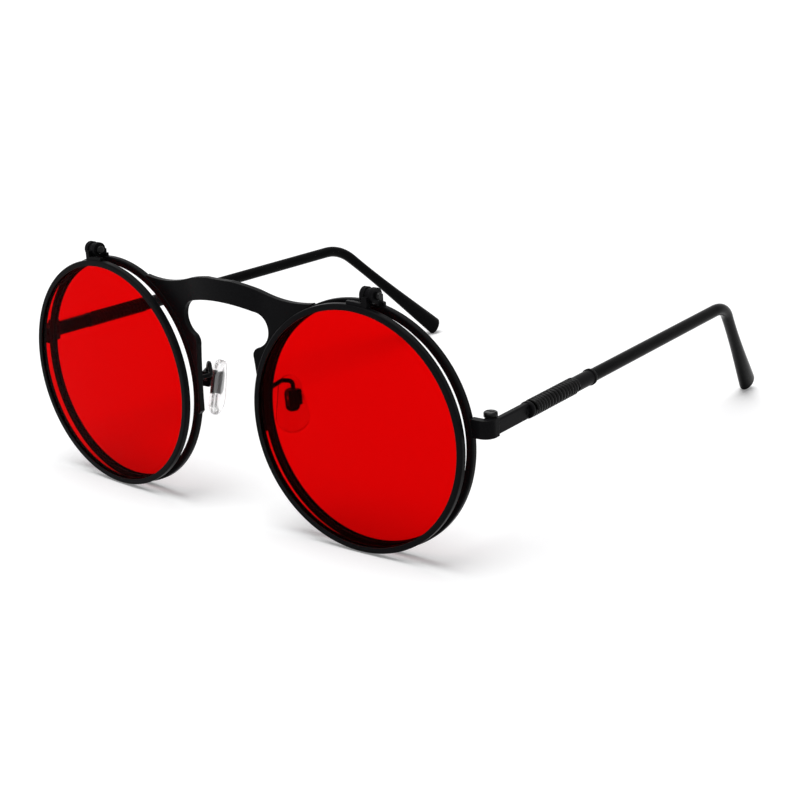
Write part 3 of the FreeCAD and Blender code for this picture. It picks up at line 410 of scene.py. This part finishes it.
def black_screw(paint):
    """Black oxide on the hinge screws, with the fine rings that turning leaves."""
    ring, edge, relief = 0.08 * MM, 0.15 * MM, 0.004 * MM
    ridge, roughness, gloss = grey(0.009), 0.24, 0.12
    m = Finish("black_screw")
    rings = m.noise(ring, 2, m.stretched((1, 1, 0.1)))
    return m.close(m.shade(
        Base_Color=m.mix(rings.clipped(), tuple(paint.frame), ridge),
        Roughness=roughness + rings.swing(0.12),
        Normal=m.bump(rings, relief, 0.5, m.soft_edges(edge)), Specular_IOR_Level=gloss))


def bright_steel(paint):
    """Polished steel of the nose pads' screws."""
    ring, relief, shade, roughness = 0.1 * MM, 0.004 * MM, grey(0.55), 0.16
    m = Finish("bright_steel")
    rings = m.noise(ring, 3)
    return m.close(m.shade(
        Base_Color=m.mix(rings.clipped(), tuple(paint.steel), shade),
        Roughness=roughness + rings.swing(0.1), Metallic=1.0,
        Normal=m.bump(rings, relief, 0.4)))


def red_lens(clear):
    """The flip lens: even red all through, with painted shade deepening the red towards its foot,
    softly polished.
    """
    top, wave, relief, ior, shadow = 52 * MM, 14 * MM, 0.02 * MM, 1.05, (0.55, 0.46, 0.47, 1)
    m = Finish("red_lens")
    height = m.add("ShaderNodeSeparateXYZ", {}, {0: m.place}, "Z")
    # Painted shade: the red deepens towards the lens's foot, below the given top
    foot_shade = (1 - height / top).clipped()
    colour = m.mix(foot_shade ** 1.5, tuple(clear.red), tuple(clear.red_foot_shade))
    polish = m.bump(m.noise(wave, 1), relief, 0.15)
    glass = m.shade(
        Base_Color=colour, Roughness=0.02, Transmission_Weight=1.0, IOR=ior, Normal=polish)
    return m.close(m.let_lamps_through(glass, shadow))


def clear_lens(clear):
    """The clear base lens with a faint cool coating."""
    wave, tinge, relief, ior = 16 * MM, 20 * MM, 0.02 * MM, 1.06
    m = Finish("clear_lens")
    polish = m.bump(m.noise(wave, 1), relief, 0.12)
    colour = m.mix(m.noise(tinge, 1), tuple(clear.clear), (0.97, 0.985, 1, 1))
    glass = m.shade(
        Base_Color=colour, Roughness=0.01, Transmission_Weight=1.0, IOR=ior, Normal=polish)
    return m.close(m.let_lamps_through(glass, grey(0.99)))


def pad_silicone(clear):
    """Soft clear silicone with a faint milky haze in random clouds."""
    cloud, pore, relief, roughness = 1.6 * MM, 0.5 * MM, 0.01 * MM, 0.16
    m = Finish("pad_silicone")
    haze = m.noise(cloud, 3)
    glass = m.shade(
        Base_Color=m.mix(haze, tuple(clear.pad), (0.985, 0.98, 0.98, 1)),
        Roughness=roughness + haze.swing(0.1), Transmission_Weight=0.96, IOR=1.4,
        Normal=m.bump(m.noise(pore, 3), relief, 0.4), Coat_Weight=0.3, Coat_Roughness=0.08)
    return m.close(m.let_lamps_through(glass, (0.86, 0.85, 0.85, 1)))


def paint_nodes(finish, slot_name, *names):
    """Gives CAD nodes, named without their side, a material in place of their plain one."""
    for name in names:
        for label in [name] if name in nodes else [name + "_" + side for side in SIDES]:
            node = nodes[label]
            node.data.materials.clear()
            node.data.materials.append(finish)


# Geometry trees

def coil_tree(finish):
    """A tree that winds a round wire on +Z, with its end turns closed up against the seats."""
    tree = bpy.data.node_groups.new("wound_coil", "GeometryNodeTree")
    sizes = {"Turns": "Float", "Radius": "Float", "Wire": "Float", "Length": "Float",
             "Closing": "Float", "Sides": "Int"}
    for name, kind in sizes.items():
        tree.interface.new_socket(name, in_out="INPUT", socket_type="NodeSocket" + kind)
    tree.interface.new_socket("Geometry", in_out="OUTPUT", socket_type="NodeSocketGeometry")
    g = Graph(tree)
    given = g.add("NodeGroupInput").socket.node.outputs
    turns, radius, wire, length, closing, sides = (Wire(g, given[name]) for name in sizes)
    count = turns * TURN_POINTS + 1
    line = g.add("GeometryNodeCurvePrimitiveLine")
    points = g.add("GeometryNodeResampleCurve", {}, {"Curve": line, "Count": count})
    along = g.add("GeometryNodeSplineParameter", {}, {}, "Factor")
    angle = along * turns * math.tau
    rise = along - (along * math.tau).sin() * closing / turns
    height = wire + rise * (length - 2 * wire)
    place = {0: angle.cos() * radius, 1: angle.sin() * radius, 2: height}
    helix = g.add("ShaderNodeCombineXYZ", {}, place)
    wound = g.add("GeometryNodeSetPosition", {}, {"Geometry": points, "Position": helix})
    round_wire = {"Resolution": sides, "Radius": wire}
    section = g.add("GeometryNodeCurvePrimitiveCircle", {}, round_wire)
    swept = {"Curve": wound, "Profile Curve": section, "Fill Caps": True}
    tube = g.add("GeometryNodeCurveToMesh", {}, swept)
    smooth = g.add("GeometryNodeSetShadeSmooth", {}, {"Geometry": tube})
    real = g.add("GeometryNodeRealizeInstances", {}, {"Geometry": smooth})
    finished = g.add("GeometryNodeSetMaterial", {}, {"Geometry": real, "Material": finish})
    g.add("NodeGroupOutput", {}, {0: finished})
    return tree


def grown(name, tree, values):
    """Runs a geometry tree with values for its named inputs and keeps the plain mesh."""
    source = bpy.data.objects.new(name + "_source", bpy.data.meshes.new(name + "_source"))
    bpy.context.scene.collection.objects.link(source)
    modifier = source.modifiers.new(name, "NODES")
    modifier.node_group = tree
    for item in tree.interface.items_tree:
        if item.in_out == "INPUT" and item.name in values:
            modifier[item.identifier] = values[item.name]
    evaluated = source.evaluated_get(bpy.context.evaluated_depsgraph_get())
    mesh = bpy.data.meshes.new_from_object(evaluated)
    bpy.data.objects.remove(source)
    mesh.name = name
    return mesh


def add_piece(name, mesh, body, node):
    """Adds a finished mesh as a piece on a body that stands for one CAD node."""
    piece = bpy.data.objects.new(name, mesh)
    bpy.context.scene.collection.objects.link(piece)
    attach(piece, body)
    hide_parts(node)


def turned_ring(name, radius, length, edge):
    """A short solid disc with rounded edges, turned about +Z from Z = 0."""
    steps = 4
    turns = [math.pi / 2 * step / steps for step in range(steps + 1)]
    corner = [(radius - edge + edge * math.sin(t), edge * (1 - math.cos(t))) for t in turns]
    outline = [(0, 0)] + corner + [(r, length - z) for r, z in reversed(corner)] + [(0, length)]
    shape = bmesh.new()
    points = [shape.verts.new((r, 0, z)) for r, z in outline]
    lines = [shape.edges.new(pair) for pair in zip(points, points[1:])]
    bmesh.ops.spin(shape, geom=points + lines, axis=(0, 0, 1), angle=math.tau, steps=RING_SIDES)
    bmesh.ops.remove_doubles(shape, verts=shape.verts, dist=WELD)
    bmesh.ops.recalc_face_normals(shape, faces=shape.faces)
    for face in shape.faces:
        face.smooth = abs(face.normal.z) < LEVEL
    mesh = bpy.data.meshes.new(name)
    shape.to_mesh(mesh)
    shape.free()
    return mesh


def moulded_round(name, outer, core):
    """A copy of an outer solid's skin that closes straight round its core, without a hollow."""
    inside = bmesh.new()
    inside.from_mesh(core.data)
    near = BVHTree.FromBMesh(inside)
    inside.free()
    skin = bmesh.new()
    skin.from_mesh(outer.data)
    bmesh.ops.remove_doubles(skin, verts=skin.verts, dist=WELD)
    hollow = [face for face in skin.faces
              if near.find_nearest(face.calc_center_median(), TOUCH)[0]]
    bmesh.ops.delete(skin, geom=hollow, context="FACES")
    bmesh.ops.holes_fill(skin, edges=[edge for edge in skin.edges if edge.is_boundary])
    bmesh.ops.recalc_face_normals(skin, faces=skin.faces)
    for face in skin.faces:
        face.smooth = True
    mesh = bpy.data.meshes.new(name)
    skin.to_mesh(mesh)
    skin.free()
    return mesh


def temple_place(side, coil, start):
    """A place on one coil's axis, whose own Z runs back along the open temple."""
    way = 1 if side == "left" else -1
    hinge = Vector(joints["temple_fold_" + side]["pos_m"])
    turn = Matrix.Rotation(way * coil.toe_in, 4, "Z")
    back = Matrix.Rotation(-math.pi / 2, 4, "X")
    axis = Matrix.Translation((way * coil.outset, start, 0)) @ back
    return Matrix.Translation(hinge) @ turn @ axis


# Operators

class GLASSES_OT_studio(bpy.types.Operator):
    """Lays the pale floor, hangs the lamp and stands the camera at the product view"""

    bl_idname = "glasses.studio"
    bl_label = "Set Up Studio"

    def execute(self, context):
        studio = context.scene.glasses.studio
        scene = context.scene
        scene.view_settings.view_transform = "Standard"
        self.lay_floor(scene, studio)
        self.light_surround(scene, studio)
        self.hang_lamp(scene, studio)
        self.stand_camera(scene, studio)
        return {"FINISHED"}

    def lay_floor(self, scene, studio):
        far = studio.floor_reach
        mesh = bpy.data.meshes.new("floor")
        corners = [(-far, -far, 0), (far, -far, 0), (far, far, 0), (-far, far, 0)]
        mesh.from_pydata(corners, [], [(0, 1, 2, 3)])
        m = Finish("pale_floor")
        matte = m.add("ShaderNodeBsdfDiffuse", {}, {"Color": tuple(studio.floor)})
        glow = m.add("ShaderNodeEmission", {}, {"Color": grey(1.0), "Strength": studio.glow})
        both = m.add("ShaderNodeAddShader", {}, {0: matte, 1: glow})
        seen = m.rays("Camera", "Glossy", "Transmission")
        floor_look = m.add("ShaderNodeMixShader", {}, {0: seen, 1: matte, 2: both})
        mesh.materials.append(m.close(floor_look))
        floor = bpy.data.objects.new("floor", mesh)
        scene.collection.objects.link(floor)

    def light_surround(self, scene, studio):
        world = bpy.data.worlds.new("studio")
        world.use_nodes = True
        world.node_tree.nodes.clear()
        scene.world = world
        g = Graph(world.node_tree)
        even = g.add("ShaderNodeBackground", {}, {"Color": grey(1.0), "Strength": studio.sky})
        white = g.add("ShaderNodeBackground", {}, {"Color": grey(1.0), "Strength": 1.0})
        seen = g.rays("Camera", "Glossy", "Transmission")
        mixed = g.add("ShaderNodeMixShader", {}, {0: seen, 1: even, 2: white})
        g.add("ShaderNodeOutputWorld", {}, {"Surface": mixed})

    def hang_lamp(self, scene, studio):
        key = bpy.data.lights.new("key", "SUN")
        key.energy = studio.key
        key.angle = studio.spread
        lamp = bpy.data.objects.new("key", key)
        lamp.rotation_euler = studio.key_turn
        scene.collection.objects.link(lamp)

    def stand_camera(self, scene, studio):
        a, e, r = studio.azimuth, studio.elevation, studio.roll
        back = Vector((math.sin(a) * math.cos(e), -math.cos(a) * math.cos(e), math.sin(e)))
        level = Vector((math.cos(a), math.sin(a), 0))
        upright = back.cross(level)
        right = level * math.cos(r) + upright * math.sin(r)
        up = upright * math.cos(r) - level * math.sin(r)
        camera = bpy.data.objects.new("camera", bpy.data.cameras.new("camera"))
        camera.data.sensor_width = SENSOR_MM
        camera.data.lens = studio.lens
        camera.data.clip_start = NEAREST_SEEN
        turn = Matrix((right, up, back)).transposed().to_4x4()
        camera.matrix_world = Matrix.Translation(studio.place) @ turn
        scene.collection.objects.link(camera)
        scene.camera = camera


class GLASSES_OT_front(bpy.types.Operator):
    """Paints the rims, the bridge, the hinges, the metal of the nose pads and the temple bars"""

    bl_idname = "glasses.front"
    bl_label = "Finish Front"

    def execute(self, context):
        finish = frame_paint(context.scene.glasses.paint)
        paint_nodes(finish, "frame_metal", "bridge_plate", "base_rim", "end_piece", "flip_bracket",
                    "pad_arm", "pad_box", "pad_core", "flip_rim", "flip_leaf", "temple_arm",
                    "temple_ferrule")
        return {"FINISHED"}


class GLASSES_OT_lenses(bpy.types.Operator):
    """Tints the flip lenses red and leaves the base lenses clear"""

    bl_idname = "glasses.lenses"
    bl_label = "Finish Lenses"

    def execute(self, context):
        clear = context.scene.glasses.clear
        paint_nodes(red_lens(clear), "red_lens", "flip_lens")
        paint_nodes(clear_lens(clear), "clear_lens", "base_lens")
        return {"FINISHED"}


class GLASSES_OT_screws(bpy.types.Operator):
    """Blackens the hinge screws and polishes the screws of the nose pads"""

    bl_idname = "glasses.screws"
    bl_label = "Finish Screws"

    def execute(self, context):
        paint = context.scene.glasses.paint
        paint_nodes(black_screw(paint), "frame_metal", "temple_screw", "flip_pin", "flip_nut")
        paint_nodes(bright_steel(paint), "bright_screw", "pad_screw")
        return {"FINISHED"}


class GLASSES_OT_sleeves(bpy.types.Operator):
    """Gives the temple sleeves their glossy plastic"""

    bl_idname = "glasses.sleeves"
    bl_label = "Finish Sleeves"

    def execute(self, context):
        paint_nodes(sleeve_plastic(context.scene.glasses.paint), "sleeve_plastic", "temple_sleeve")
        return {"FINISHED"}


class GLASSES_OT_coils(bpy.types.Operator):
    """Winds the coil springs of both temples and turns the collars in front of them"""

    bl_idname = "glasses.coils"
    bl_label = "Wind Coils"

    def execute(self, context):
        coil = context.scene.glasses.coil
        paint = context.scene.glasses.paint
        tree = coil_tree(coil_steel(paint))
        finish = bpy.data.materials.get("frame_paint") or frame_paint(paint)
        values = {"Turns": coil.turns, "Radius": coil.radius, "Wire": coil.wire,
                  "Length": coil.length, "Closing": coil.closing, "Sides": coil.sides}
        for side in SIDES:
            wound = grown("coil_" + side, tree, values)
            wound.transform(temple_place(side, coil, coil.start))
            add_piece("coil_" + side, wound, "temple_" + side, "temple_spring_" + side)
            ring = turned_ring("collar_" + side, coil.collar_radius, coil.collar, coil.collar_edge)
            ring.transform(temple_place(side, coil, coil.start - coil.collar))
            ring.materials.append(finish)
            add_piece("collar_" + side, ring, "temple_" + side, "spring_seat_" + side)
        return {"FINISHED"}


class GLASSES_OT_pads(bpy.types.Operator):
    """Moulds the clear silicone of the nose pads round their cores"""

    bl_idname = "glasses.pads"
    bl_label = "Finish Nose Pads"

    def execute(self, context):
        finish = pad_silicone(context.scene.glasses.clear)
        for side in SIDES:
            outer, core = nodes["nose_pad_" + side], nodes["pad_core_" + side]
            skin = moulded_round("pad_" + side, outer, core)
            skin.materials.append(finish)
            add_piece("pad_" + side, skin, "nose_pad_" + side, "nose_pad_" + side)
        return {"FINISHED"}


class GLASSES_PT_sidebar(bpy.types.Panel):
    """Lists the operators and the settings of the glasses"""

    bl_idname = "GLASSES_PT_sidebar"
    bl_label = "Flip-up Glasses"
    bl_space_type = "VIEW_3D"
    bl_region_type = "UI"
    bl_category = "Glasses"

    def draw(self, context):
        for operator in OPERATORS:
            self.layout.operator(operator.bl_idname)
        for group in ("paint", "clear", "coil", "studio"):
            settings = getattr(context.scene.glasses, group)
            column = self.layout.column(align=True)
            for name in settings.__annotations__:
                column.prop(settings, name)


OPERATORS = (GLASSES_OT_studio, GLASSES_OT_front, GLASSES_OT_lenses, GLASSES_OT_screws,
             GLASSES_OT_sleeves, GLASSES_OT_coils, GLASSES_OT_pads)
SETTINGS = (PaintSettings, ClearSettings, CoilSettings, StudioSettings, GlassesSettings)
CLASSES = (*SETTINGS, *OPERATORS, GLASSES_PT_sidebar)


def register():
    for item in CLASSES:
        bpy.utils.register_class(item)
    bpy.types.Scene.glasses = PointerProperty(type=GlassesSettings)


def unregister():
    del bpy.types.Scene.glasses
    for item in reversed(CLASSES):
        bpy.utils.unregister_class(item)


def main():
    register()
    for operator in OPERATORS:
        group, name = operator.bl_idname.split(".")
        getattr(getattr(bpy.ops, group), name)()


if __name__ == "__main__":
    main()
